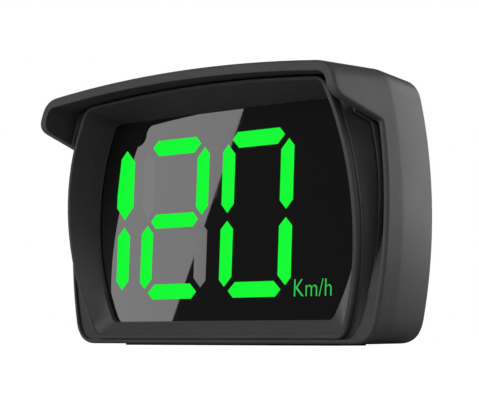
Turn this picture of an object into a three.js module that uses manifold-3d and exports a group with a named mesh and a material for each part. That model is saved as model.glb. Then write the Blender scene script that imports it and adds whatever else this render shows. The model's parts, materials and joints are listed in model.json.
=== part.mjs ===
// Dash-top speed display: a hooded case with a glossy smoked lens, three digits of light bars
// let into it, a satellite receiver, and a small battery charged by a solar strip in the roof.
//
// Millimetres, +Z up. The driver looks at it along +Y, and +X is the driver's right. The pieces
// are laid out from the lens's lower edge (Y = 0); the whole is then centred front to back.
import * as THREE from 'three';
import { mergeVertices } from 'three/addons/utils/BufferGeometryUtils.js';
import Module from 'manifold-3d';

const wasm = await Module();
wasm.setup();

// ---------------------------------------------------------------- driving dimensions

const GAP = 0.3;              // running gap between neighbouring pieces
const WALL = 2.0;             // moulded case wall
const BASE_LIFT = 0.3;        // rubber pads stand this far proud of the case

const VISOR_TIP = -12.4;      // front edge of the hood's roof
const CREASE = 3.5;           // where the case starts to taper
const CASE_BACK = 14.4;       // flat back of the case
const POD_BACK = 23.0;        // back of the battery pod
const BUTTON_PROUD = 0.4;     // buttons stand out of the pod
const CENTRE_Y = (VISOR_TIP + POD_BACK + BUTTON_PROUD) / 2;

const TAPER_SIDE = 1.4;       // how much each side draws in between the crease and the back
const TAPER_ROOF = 1.35;
const TAPER_BASE = 0.1;

// The case's front edge, seen from the side (Y, Z): an upright rim, a rounded corner, and a
// cheek that slopes up to the visor's lip.
const RIM_LOW = [-1.1, 5];
const RIM_BOW = [-0.5, 22];
const RIM_HIGH = [0, 41.3];
const CHEEK_CORNER = [0, 42.2];
const CHEEK_START = [-1, 42.5];
const CHEEK_END = [-10, 45.5];
const LIP_CORNER = [-12.2, 46.3];
const LIP_Z = 48.2;

const LENS_BOTTOM = 4.93;     // height of the lens's lower edge
const LENS_HEIGHT = 42.87;
const LENS_TILT = Math.atan(0.046);
const LENS_THICKNESS = 1.5;
const LENS_RIM = 0.8;         // lens edge that is hidden behind the bezel

// Outlines in the X-Z plane: bowed sides of radius `side` that are widest (`half`) at `level`,
// a flat bottom, a crowned top, and rounded low and high corners.
const CASE = {
  half: 45.3, level: 25.5, side: 93, bottom: BASE_LIFT, top: 54.45, crown: 380, low: 4.4, high: 3.8,
};
const LENS = {
  half: 38.05, level: 28.5 - LENS_BOTTOM, side: 44, bottom: 0, top: LENS_HEIGHT,
  crown: 2000, low: 1.2, high: 1.2,
};
const BLADE_TIP = {
  half: 40.5, level: 25, side: 49, bottom: 2.2, top: 51.4, crown: 380, low: 0.9, high: 1.5,
};
const POD = {
  half: 26, level: 21, side: 300, bottom: BASE_LIFT, top: 43, crown: 300, low: 3, high: 5,
};

// Digits, in the lens's plane: X, and height above the lens's lower edge.
const DIGIT_WIDTH = 20;
const DIGIT_LOW = 4.6;
const DIGIT_HIGH = 38.2;
const DIGIT_MID = 21;
const LOWER_SHARE = (DIGIT_MID - DIGIT_LOW) / (DIGIT_HIGH - DIGIT_MID);
const TENS_X = -24.55;
const UNITS_X = -0.65;
const HUNDREDS_X = -30.2;    // centre of the lone 1
const ONE_UPPER = { half: 2.65, high: 36.8 };
const ONE_LOWER = { half: 1.95, low: 6.7 };
const UNIT_LABEL = { left: 20.2, right: 30.3, low: 4.3, high: 8.2 };

// Solar strip in the level part of the roof.
const SOLAR_HALF = 33;
const SOLAR_FRONT = -10.4;
const SOLAR_REAR = 2.6;
const SOLAR_CELLS = 6;
const SOLAR_EDGE = 0.6;       // margin round the cells
const SOLAR_SPACE = 0.5;      // between two cells
const SOLAR_COVER = [0.02, 0.42];     // depths under the roof's surface
const SOLAR_CELL = [0.52, 0.7];
const SOLAR_BACKING = [0.8, 1.2];
const SOLAR_RECESS = 1.3;
const LEAD_HOLE = { x0: -22, x1: -18, y0: -1.4, y1: 0.6 };

// Case screws: X, Z of each, and the boss that each one bites into.
const CASE_SCREWS = [
  { name: 'left_low', x: -36.9, z: 8 }, { name: 'right_low', x: 36.9, z: 8 },
  { name: 'left_high', x: -36.2, z: 46.8 }, { name: 'right_high', x: 36.2, z: 46.8 },
];
const BOSS_FRONT = 9.4;
const BOSS_BACK = 12.1;
const SCREW_SEAT = 13.4;      // where a case screw's head sits in the rear cover

// Main board, upright in the mouth of the pod.
const BOARD = { half: 22.6, low: 4.4, high: 39.4, front: 12.6, back: 13.6 };
const BOARD_SCREWS = [
  { name: 'left_low', x: -20.6, z: 6.6 }, { name: 'right_low', x: 20.6, z: 6.6 },
  { name: 'left_high', x: -20.6, z: 37.2 }, { name: 'right_high', x: 20.6, z: 37.2 },
];
const POD_WALL = 1.8;
const POD_INNER_BACK = POD_BACK - POD_WALL;
const PLATE_FRONT = 12.4;     // inner face of the rear cover's plate

// Buttons on the back of the pod.
const BUTTONS = [{ name: 'power', x: 7.5 }, { name: 'units', x: 17.5 }];
const BUTTON_Z = 16;
const BUTTON_RADIUS = 3.3;
const USB = { x: 10.5, z: 6.6, width: 9, height: 3.2 };
const SOUND = { x: -35, pitch: 1.9, width: 1, count: 5, low: 20, high: 30 };   // slots in the back

// ---------------------------------------------------------------- materials

const finish = (color, roughness, metalness = 0) =>
  new THREE.MeshStandardMaterial({ color, roughness, metalness });
const CASE_BLACK = finish(0x333335, 0.5);
const BEZEL_BLACK = finish(0x29292b, 0.42);
const SMOKED = finish(0x0a0a0b, 0.05);
const MASK_BLACK = finish(0x050505, 0.6);
const GREEN = finish(0x0cff34, 0.4);
const WHITE_PLASTIC = finish(0xe8e8e4, 0.5);
const BOARD_GREEN = finish(0x14532d, 0.5);
const CHIP = finish(0x151515, 0.55);
const TIN = finish(0xb8bcc0, 0.3, 1);
const STEEL = finish(0x8f9398, 0.35, 1);
const RUBBER = finish(0x121212, 0.9);
const FOAM = finish(0x1c1c1c, 1);
const SOLAR_BLUE = finish(0x10203f, 0.3);
const CLEAR = finish(0xdde6ea, 0.05);
const CERAMIC = finish(0xc9b48a, 0.6);
const CELL_SILVER = finish(0xc7ccd1, 0.35, 0.6);
const RED = finish(0xb3201c, 0.5);
const BLACK = finish(0x101010, 0.5);

// ---------------------------------------------------------------- solids

function solid(geometry) {
  const bare = geometry.clone();
  bare.deleteAttribute('normal');
  bare.deleteAttribute('uv');
  const merged = mergeVertices(bare, 1e-4);
  return new wasm.Manifold(new wasm.Mesh({
    numProp: 3,
    vertProperties: new Float32Array(merged.attributes.position.array),
    triVerts: new Uint32Array(merged.index.array),
  }));
}

function geometryOf(body) {
  const { vertProperties, triVerts } = body.getMesh();
  const geometry = new THREE.BufferGeometry();
  geometry.setAttribute('position', new THREE.BufferAttribute(vertProperties, 3));
  geometry.setIndex(new THREE.BufferAttribute(triVerts, 1));
  geometry.computeVertexNormals();
  return geometry;
}

const join = (first, ...rest) =>
  geometryOf(rest.reduce((body, next) => body.add(solid(next)), solid(first)));
const cut = (first, ...tools) =>
  geometryOf(tools.reduce((body, tool) => body.subtract(solid(tool)), solid(first)));
const common = (first, second) => geometryOf(solid(first).intersect(solid(second)));

function box(x0, x1, y0, y1, z0, z1) {
  const geometry = new THREE.BoxGeometry(x1 - x0, y1 - y0, z1 - z0);
  return geometry.translate((x0 + x1) / 2, (y0 + y1) / 2, (z0 + z1) / 2);
}

// A round bar along Y.
function rod(x, z, radius, y0, y1, sides = 20) {
  const geometry = new THREE.CylinderGeometry(radius, radius, y1 - y0, sides);
  return geometry.translate(x, (y0 + y1) / 2, z);
}

// A flat shape drawn in X-Z, thickened from y0 to y1.
function alongY(points, y0, y1) {
  const geometry = new THREE.ExtrudeGeometry(
    new THREE.Shape(points), { depth: y1 - y0, bevelEnabled: false });
  return geometry.rotateX(Math.PI / 2).translate(0, y1, 0);
}

// A flat shape drawn in Y-Z, thickened across X.
function alongX(points, x0, x1) {
  const geometry = new THREE.ExtrudeGeometry(
    new THREE.Shape(points), { depth: x1 - x0, bevelEnabled: false });
  const turn = new THREE.Matrix4().makeBasis(
    new THREE.Vector3(0, 1, 0), new THREE.Vector3(0, 0, 1), new THREE.Vector3(1, 0, 0));
  return geometry.applyMatrix4(turn).translate(x0, 0, 0);
}

// A rounded slab lying flat.
function slab(halfX, y0, y1, z0, z1, radius) {
  const shape = new THREE.Shape();
  const halfY = (y1 - y0) / 2;
  shape.moveTo(-halfX + radius, -halfY);
  shape.absarc(halfX - radius, -halfY + radius, radius, -Math.PI / 2, 0);
  shape.absarc(halfX - radius, halfY - radius, radius, 0, Math.PI / 2);
  shape.absarc(-halfX + radius, halfY - radius, radius, Math.PI / 2, Math.PI);
  shape.absarc(-halfX + radius, -halfY + radius, radius, Math.PI, 1.5 * Math.PI);
  const geometry = new THREE.ExtrudeGeometry(
    shape, { depth: z1 - z0, bevelEnabled: false, curveSegments: 5 });
  return geometry.translate(0, (y0 + y1) / 2, z0);
}

function wire(points, radius) {
  const round = new THREE.Shape();
  round.absarc(0, 0, radius, 0, 2 * Math.PI);
  const path = new THREE.CatmullRomCurve3(points.map(p => new THREE.Vector3(...p)));
  return new THREE.ExtrudeGeometry(
    round, { steps: 4 * points.length, extrudePath: path, curveSegments: 3 });
}

// ---------------------------------------------------------------- outlines and skins

const sideX = (o, z) => o.half - o.side + Math.sqrt(o.side ** 2 - (z - o.level) ** 2);
const roofZ = (o, x) => o.top - o.crown + Math.sqrt(o.crown ** 2 - x ** 2);

// Points of an outline, anticlockwise as the driver sees it, from the middle of the bottom.
// Every outline has the same number of points, so that any two of them can be skinned.
function outline(o) {
  const lowX = sideX(o, o.bottom);
  const highX = sideX(o, roofZ(o, o.half - 3));
  const highZ = roofZ(o, highX);
  const right = [];
  const corner = (from, tip, to) =>
    right.push(...new THREE.QuadraticBezierCurve(from, tip, to).getPoints(4));
  const at = (x, z) => new THREE.Vector2(x, z);
  right.push(at((lowX - o.low) / 2, o.bottom));
  corner(at(lowX - o.low, o.bottom), at(lowX, o.bottom),
    at(sideX(o, o.bottom + o.low), o.bottom + o.low));
  for (let i = 1; i < 10; i++) {
    const z = THREE.MathUtils.lerp(o.bottom + o.low, highZ - o.high, i / 10);
    right.push(at(sideX(o, z), z));
  }
  corner(at(sideX(o, highZ - o.high), highZ - o.high), at(highX, highZ),
    at(highX - o.high, roofZ(o, highX - o.high)));
  for (let i = 1; i < 5; i++) {
    const x = (highX - o.high) * (1 - i / 5);
    right.push(at(x, roofZ(o, x)));
  }
  const left = right.map(p => at(-p.x, p.y)).reverse();
  return [at(0, o.bottom), ...right, at(0, o.top), ...left];
}

// The same outline drawn in (positive) or let out (negative) all round.
const inset = (o, d) => ({
  ...o, half: o.half - d, side: o.side - d, bottom: o.bottom + d, top: o.top - d,
  crown: o.crown - d, low: Math.max(o.low - d, 0.6), high: Math.max(o.high - d, 0.6),
});

// The case's outline at a distance behind the crease.
function tapered(o, y) {
  const t = Math.max(0, y - CREASE) / (CASE_BACK - CREASE);
  return { ...o, half: o.half - TAPER_SIDE * t, top: o.top - TAPER_ROOF * t,
    bottom: o.bottom + TAPER_BASE * t };
}

const ring = (o, yAt) => outline(o).map(p => new THREE.Vector3(p.x, yAt(p.y), p.y));
const flatRing = (o, y) => ring(o, () => y);

function skin(rings, ends) {
  const n = rings[0].length;
  const index = [];
  const spans = ends ? rings.length - 1 : rings.length;
  for (let r = 0; r < spans; r++) {
    const next = (r + 1) % rings.length;
    for (let i = 0; i < n; i++) {
      const j = (i + 1) % n;
      index.push(r * n + i, next * n + j, r * n + j);
      index.push(r * n + i, next * n + i, next * n + j);
    }
  }
  if (ends) {
    const last = (rings.length - 1) * n;
    const flat = points => points.map(p => new THREE.Vector2(p.x, p.z));
    for (const [a, b, c] of THREE.ShapeUtils.triangulateShape(flat(rings[0]), []))
      index.push(a, b, c);
    for (const [a, b, c] of THREE.ShapeUtils.triangulateShape(flat(rings.at(-1)), []))
      index.push(last + a, last + c, last + b);
  }
  const geometry = new THREE.BufferGeometry().setFromPoints(rings.flat());
  geometry.setIndex(index);
  return geometry;
}
const block = (...rings) => skin(rings, true);      // rings from front to back, ends closed
const hoop = (...rings) => skin(rings, false);      // the last ring meets the first again

// ---------------------------------------------------------------- case

// Seen from the side: what is cut away in front of the rim, up to the hood's cheeks.
function cheekCut() {
  const side = new THREE.Path();
  const ahead = VISOR_TIP - 2;
  side.moveTo(ahead, -1);
  side.lineTo(RIM_LOW[0], -1);
  side.lineTo(...RIM_LOW);
  side.quadraticCurveTo(...RIM_BOW, ...RIM_HIGH);
  side.quadraticCurveTo(...CHEEK_CORNER, ...CHEEK_START);
  side.lineTo(...CHEEK_END);
  side.quadraticCurveTo(...LIP_CORNER, VISOR_TIP - 0.2, LIP_Z);
  side.lineTo(ahead, LIP_Z);
  return alongX(side.getPoints(5), -CASE.half - 5, CASE.half + 5);
}

// A strip that follows the roof's crown, between two depths under its surface.
function roofStrip(x0, x1, y0, y1, depthTop, depthBottom, steps) {
  const xs = Array.from({ length: steps + 1 }, (_, i) => THREE.MathUtils.lerp(x0, x1, i / steps));
  const low = xs.map(x => new THREE.Vector2(x, roofZ(CASE, x) - depthBottom));
  const high = xs.map(x => new THREE.Vector2(x, roofZ(CASE, x) - depthTop)).reverse();
  return alongY([...low, ...high], y0, y1);
}

const FRONT_PAD = { half: 30, y0: 0.6, y1: 11.4 };
const REAR_PAD = { half: 18, y0: 15.8, y1: 21 };
const PAD_THICKNESS = 1;
const padRecess = pad => slab(
  pad.half + GAP, pad.y0 - GAP, pad.y1 + GAP, -1, PAD_THICKNESS + 0.1, 2);

function hoodShell() {
  const outside = block(
    flatRing(inset(CASE, 0.4), VISOR_TIP), flatRing(CASE, VISOR_TIP + 0.5), flatRing(CASE, CREASE),
    flatRing(tapered(CASE, CASE_BACK - 1), CASE_BACK - 1),
    flatRing(inset(tapered(CASE, CASE_BACK), 0.35), CASE_BACK - 0.35),
    flatRing(inset(tapered(CASE, CASE_BACK), 1), CASE_BACK));
  const room = inset(CASE, WALL);
  const inside = block(
    flatRing(room, VISOR_TIP - 1), flatRing(room, CREASE),
    flatRing(tapered(room, CASE_BACK + 1), CASE_BACK + 1));
  const bosses = CASE_SCREWS.flatMap(({ x, z }) => [
    rod(x, z, 2.4, BOSS_FRONT, BOSS_BACK),
    box(Math.min(x, 41.4 * Math.sign(x)), Math.max(x, 41.4 * Math.sign(x)),
      BOSS_FRONT, BOSS_BACK, z - 0.7, z + 0.7),
  ]);
  const pilots = CASE_SCREWS.map(({ x, z }) => rod(x, z, 1.1, BOSS_FRONT - 1, BOSS_BACK + 1));
  const solarRecess = roofStrip(
    -SOLAR_HALF - GAP, SOLAR_HALF + GAP, SOLAR_FRONT - GAP, SOLAR_REAR + GAP, -2, SOLAR_RECESS, 14);
  const leadHole = box(LEAD_HOLE.x0, LEAD_HOLE.x1, LEAD_HOLE.y0, LEAD_HOLE.y1, 49, 54);
  return cut(join(cut(outside, inside), ...bosses),
    cheekCut(), ...pilots, solarRecess, leadHole, padRecess(FRONT_PAD));
}

// The bezel is one hoop. Its inner wall flares from the lens to the blades' front edges, and
// its outer wall steps back down to a flange that fills the case's mouth.
const lensY = z => (z - LENS_BOTTOM) * Math.tan(LENS_TILT);
const raised = o => ({
  ...o, bottom: o.bottom + LENS_BOTTOM, top: o.top + LENS_BOTTOM, level: o.level + LENS_BOTTOM,
});
function bladeY(z) {
  const rise = THREE.MathUtils.clamp((z - BLADE_TIP.bottom) / 43.7, 0, 1);
  return -2.5 - 4.1 * Math.sin(rise * Math.PI / 2);
}

function bezelFrame() {
  const throat = raised(LENS);
  const seat = raised(inset(LENS, -LENS_RIM - GAP));
  const bladeOuter = { ...inset(BLADE_TIP, -1.65), top: BLADE_TIP.top + 0.5, bottom: 0.9 };
  const bladeRoot = { ...inset(BLADE_TIP, -1.8), top: BLADE_TIP.top - 0.8, bottom: 0.9 };
  const flange = { ...inset(CASE, WALL + GAP), top: 50.4 };
  return hoop(
    ring(throat, z => lensY(z) - 0.1),
    ring(BLADE_TIP, bladeY),
    ring(bladeOuter, z => bladeY(z) + 0.25),
    flatRing(bladeRoot, -1.5),
    flatRing(flange, -1.3),
    ring(flange, z => lensY(z) + 2.4),
    ring(seat, z => lensY(z) + 2.4),
    ring(seat, z => lensY(z) - 0.1));
}

function rearCover() {
  const edge = inset(CASE, WALL + GAP);
  const backPlate = block(
    flatRing(tapered(edge, PLATE_FRONT), PLATE_FRONT),
    flatRing(tapered(edge, CASE_BACK), CASE_BACK));
  const neck = block(
    flatRing({ ...POD, bottom: 3.5 }, PLATE_FRONT),
    flatRing({ ...POD, bottom: 3.5 }, CASE_BACK + 0.6));
  const pod = block(
    flatRing(POD, CASE_BACK + GAP), flatRing(inset(POD, 0.7), 21.2),
    flatRing(inset(POD, 1.2), 22.5), flatRing(inset(POD, 2.2), POD_BACK));
  const room = { ...inset(POD, POD_WALL), bottom: 3.9 };
  const inside = block(
    flatRing(room, 11), flatRing({ ...inset(room, 0.7), bottom: 3.9 }, POD_INNER_BACK));
  const posts = BOARD_SCREWS.map(({ x, z }) =>
    rod(x, z, 1.8, BOARD.back + 0.1, POD_INNER_BACK + 0.4, 16));
  const pilots = BOARD_SCREWS.map(({ x, z }) => rod(x, z, 0.95, 12, 18.4, 12));
  const screwHoles = CASE_SCREWS.flatMap(({ x, z }) => [
    rod(x, z, 1.25, 12, 15, 16), rod(x, z, 2.1, SCREW_SEAT, 15)]);
  const buttonHoles = BUTTONS.map(({ x }) =>
    rod(x, BUTTON_Z, BUTTON_RADIUS + GAP, POD_INNER_BACK - 0.5, POD_BACK + 1, 28));
  const usbMouth = box(USB.x - USB.width / 2 - GAP, USB.x + USB.width / 2 + GAP,
    POD_INNER_BACK - 0.5, POD_BACK + 1, USB.z - USB.height / 2 - GAP, USB.z + USB.height / 2 + GAP);
  const soundSlots = Array.from({ length: SOUND.count }, (_, i) => SOUND.x + SOUND.pitch * i)
    .map(x => box(x, x + SOUND.width, 12, 15, SOUND.low, SOUND.high));
  return cut(join(cut(join(backPlate, neck, pod), inside), ...posts),
    ...pilots, ...screwHoles, ...buttonHoles, usbMouth, ...soundSlots, padRecess(REAR_PAD));
}

// A pan-head screw along Y with a cross slot: head towards `headY`, tip at `tipY`.
function screw(x, z, headY, seatY, tipY, headRadius, shankRadius) {
  const out = Math.sign(headY - seatY);
  const head = rod(x, z, headRadius, Math.min(headY, seatY), Math.max(headY, seatY), 16);
  const shank = rod(x, z, shankRadius, Math.min(tipY, seatY + 0.2 * out),
    Math.max(tipY, seatY + 0.2 * out), 12);
  const slotY = [headY - 0.5 * out, headY + out].sort((a, b) => a - b);
  const arm = headRadius * 0.62;
  return cut(join(head, shank),
    box(x - arm, x + arm, ...slotY, z - 0.2, z + 0.2),
    box(x - 0.2, x + 0.2, ...slotY, z - arm, z + arm));
}

// ---------------------------------------------------------------- display stack
// Drawn upright from the lens's front face (Y = 0, Z = 0 at its lower edge), then leant back.

// Depths behind the lens's front face, front then back.
const LENS_DEPTH = [0.1, 0.1 + LENS_THICKNESS];
const GASKET_DEPTH = [1.75, 2.6];
const MASK_DEPTH = [1.75, 2.05];
const BAR_DEPTH = [0.12, 2.4];        // the bars fill windows in the mask and the lens
const CARRIER_DEPTH = [2.2, 2.6];
const LIGHT_BOX_DEPTH = [2.9, 6.8];
const DIODE_DEPTH = [6.4, 7.3];
const LED_BOARD_DEPTH = [7.1, 8.3];
const BAR_PLAY = 0.15;                // bar to window, all round

const plate = (shape, [front, back]) => block(flatRing(shape, front), flatRing(shape, back));
const lensGasket = () => hoop(
  flatRing(inset(LENS, 0.3), GASKET_DEPTH[0]), flatRing(inset(LENS, -0.6), GASKET_DEPTH[0]),
  flatRing(inset(LENS, -0.6), GASKET_DEPTH[1]), flatRing(inset(LENS, 0.3), GASKET_DEPTH[1]));

// The seven bars of a digit, as six-sided outlines with 45-degree tips.
const STROKE_V = 3.6;
const STROKE_H = 3.3;
const OUTER_TIP = 1.5;
const CORNER_TIP = 2.35;
const MIDDLE_GAP = 0.8;
const BAR_START = 2.65;       // level bars: outer tip, shoulder and inner corner from the side
const BAR_SHOULDER = 4.1;
const BAR_CORNER = 4.6;
const MIDDLE_START = 2.8;     // the middle bar's tips and shoulders
const MIDDLE_SHOULDER = 4.3;
const MIDDLE_HALF = 1.5;

function bars(left, names) {
  const midX = left + DIGIT_WIDTH / 2;
  const flip = (points, mirrorX, mirrorZ) => {
    const moved = points.map(([x, z]) => [
      mirrorX ? 2 * midX - x : x,
      mirrorZ ? DIGIT_MID - (z - DIGIT_MID) * LOWER_SHARE : z]);
    return mirrorX === mirrorZ ? moved : moved.reverse();
  };
  const top = DIGIT_HIGH;
  const right = left + DIGIT_WIDTH;
  const across = [
    [left + BAR_START, top - OUTER_TIP], [left + BAR_CORNER, top - STROKE_H],
    [right - BAR_CORNER, top - STROKE_H], [right - BAR_START, top - OUTER_TIP],
    [right - BAR_SHOULDER, top], [left + BAR_SHOULDER, top]];
  const upright = [
    [left + OUTER_TIP, top - CORNER_TIP], [left, top - CORNER_TIP - OUTER_TIP],
    [left, DIGIT_MID + MIDDLE_GAP + STROKE_V / 2], [left + STROKE_V / 2, DIGIT_MID + MIDDLE_GAP],
    [left + STROKE_V, DIGIT_MID + MIDDLE_GAP + STROKE_V / 2],
    [left + STROKE_V, top - CORNER_TIP - STROKE_V + OUTER_TIP]];
  const middle = [
    [left + MIDDLE_START, DIGIT_MID],
    [left + MIDDLE_SHOULDER, DIGIT_MID - MIDDLE_HALF],
    [right - MIDDLE_SHOULDER, DIGIT_MID - MIDDLE_HALF],
    [right - MIDDLE_START, DIGIT_MID],
    [right - MIDDLE_SHOULDER, DIGIT_MID + MIDDLE_HALF],
    [left + MIDDLE_SHOULDER, DIGIT_MID + MIDDLE_HALF]];
  const all = {
    a: across, b: flip(upright, true, false), c: flip(upright, true, true),
    d: flip(across, false, true), e: flip(upright, false, true), f: upright, g: middle,
  };
  return names.split('').map(name => all[name].map(([x, z]) => new THREE.Vector2(x, z)));
}

// The hundreds digit can only show a 1, so it has two upright bars.
function hundredsBars() {
  const bar = (half, low, high) => [
    [HUNDREDS_X, high], [HUNDREDS_X - half, high - half], [HUNDREDS_X - half, low + half],
    [HUNDREDS_X, low], [HUNDREDS_X + half, low + half], [HUNDREDS_X + half, high - half],
  ].map(([x, z]) => new THREE.Vector2(x, z));
  return [
    bar(ONE_UPPER.half, DIGIT_MID + MIDDLE_GAP, ONE_UPPER.high),
    bar(ONE_LOWER.half, ONE_LOWER.low, DIGIT_MID - MIDDLE_GAP)];
}

const labelWindow = () => [[[UNIT_LABEL.left, UNIT_LABEL.low], [UNIT_LABEL.right, UNIT_LABEL.low],
  [UNIT_LABEL.right, UNIT_LABEL.high], [UNIT_LABEL.left, UNIT_LABEL.high],
].map(([x, z]) => new THREE.Vector2(x, z))];

const DIGITS = {
  hundreds: hundredsBars(),
  tens: bars(TENS_X, 'abcdefg'),
  units: bars(UNITS_X, 'abcdefg'),
  unit_label: labelWindow(),
};
const ALL_BARS = Object.values(DIGITS).flat();

// The same bar drawn in towards its own middle.
function shrunk(points, by) {
  const size = new THREE.Box2().setFromPoints(points);
  const middle = size.getCenter(new THREE.Vector2());
  const span = size.getSize(new THREE.Vector2());
  return points.map(p => new THREE.Vector2(
    middle.x + (p.x - middle.x) * (1 - 2 * by / span.x),
    middle.y + (p.y - middle.y) * (1 - 2 * by / span.y)));
}

const lensPlate = () => cut(
  plate(inset(LENS, -LENS_RIM), LENS_DEPTH), ...ALL_BARS.map(bar => alongY(bar, -1, 3)));

const displayMask = () => cut(
  plate(inset(LENS, 0.6), MASK_DEPTH), ...ALL_BARS.map(bar => alongY(bar, 1, 3)));

// One light-spreading moulding per digit: a thin carrier behind the mask, with a bar for each
// window that comes through to the lens's face.
function diffuser(digitBars) {
  const size = new THREE.Box2().setFromPoints(digitBars.flat());
  const carrier = box(size.min.x - GAP, size.max.x + GAP, ...CARRIER_DEPTH,
    size.min.y - GAP, size.max.y + GAP);
  const inside = plate(inset(LENS, 0.7), [2, 3]);
  return join(common(carrier, inside),
    ...digitBars.map(bar => alongY(shrunk(bar, BAR_PLAY), ...BAR_DEPTH)));
}

const lightBox = () => cut(
  plate(inset(LENS, 0.6), LIGHT_BOX_DEPTH),
  ...ALL_BARS.map(bar => alongY(shrunk(bar, BAR_PLAY), 1, 8)));

// Board with one light-emitting diode soldered behind each bar.
function ledBoard() {
  const half = 0.8;
  const diodes = ALL_BARS.map(bar => {
    const { x, y: z } = new THREE.Box2().setFromPoints(bar).getCenter(new THREE.Vector2());
    return box(x - half, x + half, ...DIODE_DEPTH, z - half, z + half);
  });
  return join(plate(inset(LENS, 1.7), LED_BOARD_DEPTH), ...diodes);
}

// ---------------------------------------------------------------- buttons

// Turned about its own axis: cap, retaining flange inside the pod, and stem.
function buttonCap() {
  const profile = [[0, 18.6], [1.5, 18.6], [1.5, 20.2], [4.2, 20.2], [4.2, 21.0],
    [BUTTON_RADIUS, 21.0], [BUTTON_RADIUS, 23.0], [BUTTON_RADIUS - 0.4, POD_BACK + BUTTON_PROUD],
    [0, POD_BACK + BUTTON_PROUD]];
  return new THREE.LatheGeometry(profile.map(([r, y]) => new THREE.Vector2(r, y)), 28);
}

function tactSwitch() {
  return join(box(-3, 3, BOARD.back + 0.1, 17.1, -3, 3), rod(0, 0, 1.7, 17, 17.9, 16));
}

function usbShell() {
  const w = USB.width / 2;
  const h = USB.height / 2;
  const mouth = box(-w + 0.35, w - 0.35, 15.5, 23, -h + 0.35, h - 0.35);
  return cut(box(-w, w, BOARD.back + 0.1, 22.6, -h, h), mouth);
}

// ---------------------------------------------------------------- assembly

const speedDisplay = new THREE.Group();
const centred = new THREE.Group();
centred.position.y = -CENTRE_Y;
speedDisplay.add(centred);

const display = new THREE.Group();
display.position.z = LENS_BOTTOM;
display.rotation.x = -LENS_TILT;
centred.add(display);

function add(parent, name, geometry, material, x = 0, z = 0) {
  const mesh = new THREE.Mesh(geometry, material);
  mesh.name = name;
  mesh.position.set(x, 0, z);
  parent.add(mesh);
}

add(centred, 'hood_shell', hoodShell(), CASE_BLACK);
add(centred, 'bezel_frame', bezelFrame(), BEZEL_BLACK);
add(centred, 'rear_cover', rearCover(), CASE_BLACK);
for (const { name, x, z } of CASE_SCREWS) {
  const shape = screw(x, z, SCREW_SEAT + 1, SCREW_SEAT + 0.05, 9.8, 1.8, 0.95);
  add(centred, `case_screw_${name}`, shape, STEEL);
}
add(centred, 'front_pad',
  slab(FRONT_PAD.half, FRONT_PAD.y0, FRONT_PAD.y1, 0, PAD_THICKNESS, 1.7), RUBBER);
add(centred, 'rear_pad',
  slab(REAR_PAD.half, REAR_PAD.y0, REAR_PAD.y1, 0, PAD_THICKNESS, 1.7), RUBBER);

// Solar strip: backing film, cells side by side, clear cover flush with the roof.
add(centred, 'solar_backing',
  roofStrip(-SOLAR_HALF, SOLAR_HALF, SOLAR_FRONT, SOLAR_REAR, ...SOLAR_BACKING, 14), BOARD_GREEN);
const cellPitch = 2 * (SOLAR_HALF - SOLAR_EDGE) / SOLAR_CELLS;
for (let i = 0; i < SOLAR_CELLS; i++) {
  const x0 = -SOLAR_HALF + SOLAR_EDGE + i * cellPitch + SOLAR_SPACE / 2;
  const x1 = x0 + cellPitch - SOLAR_SPACE;
  add(centred, `solar_cell_${i + 1}`, roofStrip(
    x0, x1, SOLAR_FRONT + SOLAR_EDGE, SOLAR_REAR - SOLAR_EDGE, ...SOLAR_CELL, 3), SOLAR_BLUE);
}
add(centred, 'solar_cover',
  roofStrip(-SOLAR_HALF, SOLAR_HALF, SOLAR_FRONT, SOLAR_REAR, ...SOLAR_COVER, 14), CLEAR);
const solarLead = x => wire(
  [[x, -0.4, 51.2], [x, 1.2, 50.9], [x, 6, 50.4], [x, 10.2, 48.6], [x, 11.1, 45], [x, 11.6, 40.8]],
  0.4);
add(centred, 'solar_lead_red', solarLead(-20.8), RED);
add(centred, 'solar_lead_black', solarLead(-19.2), BLACK);

add(display, 'display_lens', lensPlate(), SMOKED);
add(display, 'lens_gasket', lensGasket(), FOAM);
add(display, 'display_mask', displayMask(), MASK_BLACK);
for (const [name, digitBars] of Object.entries(DIGITS))
  add(display, `diffuser_${name}`, diffuser(digitBars), GREEN);
add(display, 'light_box', lightBox(), WHITE_PLASTIC);
add(display, 'led_board', ledBoard(), BOARD_GREEN);

// Main board and what is soldered to it, towards the lens and then towards the back.
const ahead = BOARD.front - 0.05;
const behind = BOARD.back + 0.1;
const boardHoles = BOARD_SCREWS.map(({ x, z }) =>
  rod(x, z, 1.1, BOARD.front - 0.6, BOARD.back + 0.4, 12));
add(centred, 'main_board', cut(
  box(-BOARD.half, BOARD.half, BOARD.front, BOARD.back, BOARD.low, BOARD.high), ...boardHoles),
BOARD_GREEN);
add(centred, 'board_link', box(-12, 12, 10.3, ahead, 35.6, 38.6), BLACK);
add(centred, 'microcontroller', box(-4, 3, 11.6, ahead, 21, 28), CHIP);
add(centred, 'gnss_receiver', box(8, 18, 10.6, ahead, 22, 32), TIN);
add(centred, 'charge_controller', box(8, 12, 11.6, ahead, 12, 16), CHIP);
add(centred, 'charge_inductor', box(14, 18, 10.6, ahead, 12, 16), CHIP);
add(centred, 'buzzer', cut(box(-18, -9, 9.8, ahead, 10, 19), rod(-13.5, 14.5, 0.8, 9, 10.6, 12)),
  BLACK);
add(centred, 'patch_antenna', box(6, 18, behind, 17.7, 24, 36), CERAMIC);
add(centred, 'battery_pad', box(-17, 1, behind + 0.1, 14.7, 10, 34), FOAM);
add(centred, 'battery_cell', box(-18.4, 2.8, 14.9, 20.6, 8.6, 36), CELL_SILVER);
add(centred, 'battery_socket', box(-17, -10, behind, 17.2, 4.6, 7.6), WHITE_PLASTIC);
const batteryLead = x => wire([[x, 19, 8.2], [x, 19, 6.9], [x, 18.4, 6.2], [x, 17.5, 6.1]], 0.4);
add(centred, 'battery_lead_red', batteryLead(-15), RED);
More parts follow.
